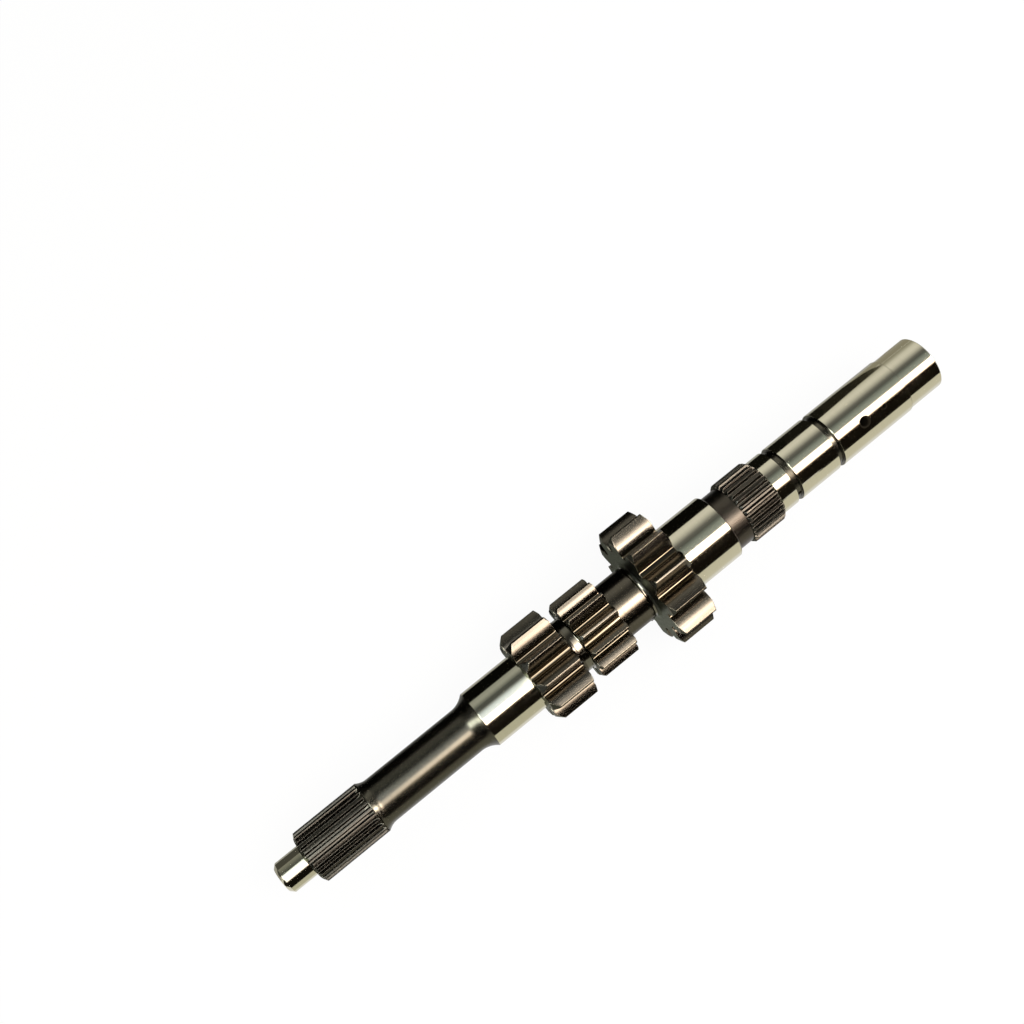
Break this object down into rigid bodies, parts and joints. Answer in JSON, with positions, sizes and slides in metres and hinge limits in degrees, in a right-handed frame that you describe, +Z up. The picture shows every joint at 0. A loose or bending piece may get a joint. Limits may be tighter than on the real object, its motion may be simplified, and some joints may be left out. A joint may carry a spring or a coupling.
{
  "type": "transmission input shaft",
  "caption": "One-piece transmission input shaft with integral straight-cut gears, a clutch spline, a hub spline, ring grooves and ground journals.",
  "frame": {"origin": "on the shaft's axis, at the shoulder where the pilot journal meets the clutch spline", "axes": "+X along the axis towards the tail journal, +Z up as the shaft lies on two teeth of its large gear"},
  "size_m": [0.3681, 0.0594, 0.0594],
  "materials": {
    "ground_steel": "ground journals, satin gears and splines"
  },
  "bodies": {
    "root": {"input_shaft": "ground_steel"}
  },
  "joints": []
}
